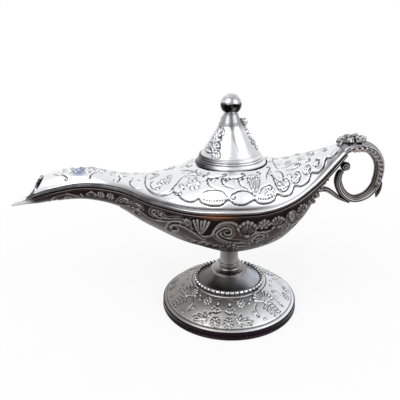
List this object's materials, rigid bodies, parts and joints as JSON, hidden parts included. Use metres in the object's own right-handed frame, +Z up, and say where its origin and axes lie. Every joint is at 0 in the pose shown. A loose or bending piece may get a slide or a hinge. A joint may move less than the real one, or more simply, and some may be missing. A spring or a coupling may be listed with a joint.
{
  "type": "genie oil lamp",
  "caption": "Boat-shaped metal oil lamp with a long pouring spout, a scrolled finger ring, a lift-off conical lid with a ball and a domed foot on a short stem.",
  "frame": {"origin": "on the ground under the stem's axis, at the centre of the foot's rest plane", "axes": "+Z up along the stem; the spout points to -X and the handle to +X; +Y across the lamp"},
  "size_m": [0.2101, 0.08, 0.1249],
  "materials": {
    "bright_silver": "bright silver plating, polished on the high spots with grey left in the relief",
    "satin_silver": "satin silver plating, slightly greyed",
    "dark_polish": "smooth dark grey polish",
    "dark_silver": "blackened antique silver with rubbed edges",
    "steel": "zinc plated steel",
    "seal": "matte black"
  },
  "bodies": {
    "lamp": {"foot_base": "satin_silver", "foot_edge_moulding": "dark_silver", "foot_bead_ring": "satin_silver", "stem_flare": "dark_polish", "stem_collar": "satin_silver", "stem_barrel": "satin_silver", "tie_bolt": "steel", "seal_washer": "seal", "foot_washer": "steel", "foot_nut": "steel", "lower_shell": "dark_silver", "upper_shell": "bright_silver", "neck_collar": "bright_silver", "handle_ring": "dark_silver", "handle_curl_ball": "dark_silver", "handle_crest": "bright_silver", "handle_spur": "dark_silver", "handle_strut": "dark_silver"},
    "lid": {"lid_spigot": "bright_silver", "lid_flange": "bright_silver", "lid_cone": "bright_silver", "finial_ball": "bright_silver", "finial_stud": "steel", "finial_nut": "steel"}
  },
  "joints": [
    {"name": "lid_lift", "type": "slide", "parent": "lamp", "child": "lid", "axis": [0, 0, 1], "range_m": [0, 0.04]}
  ]
}
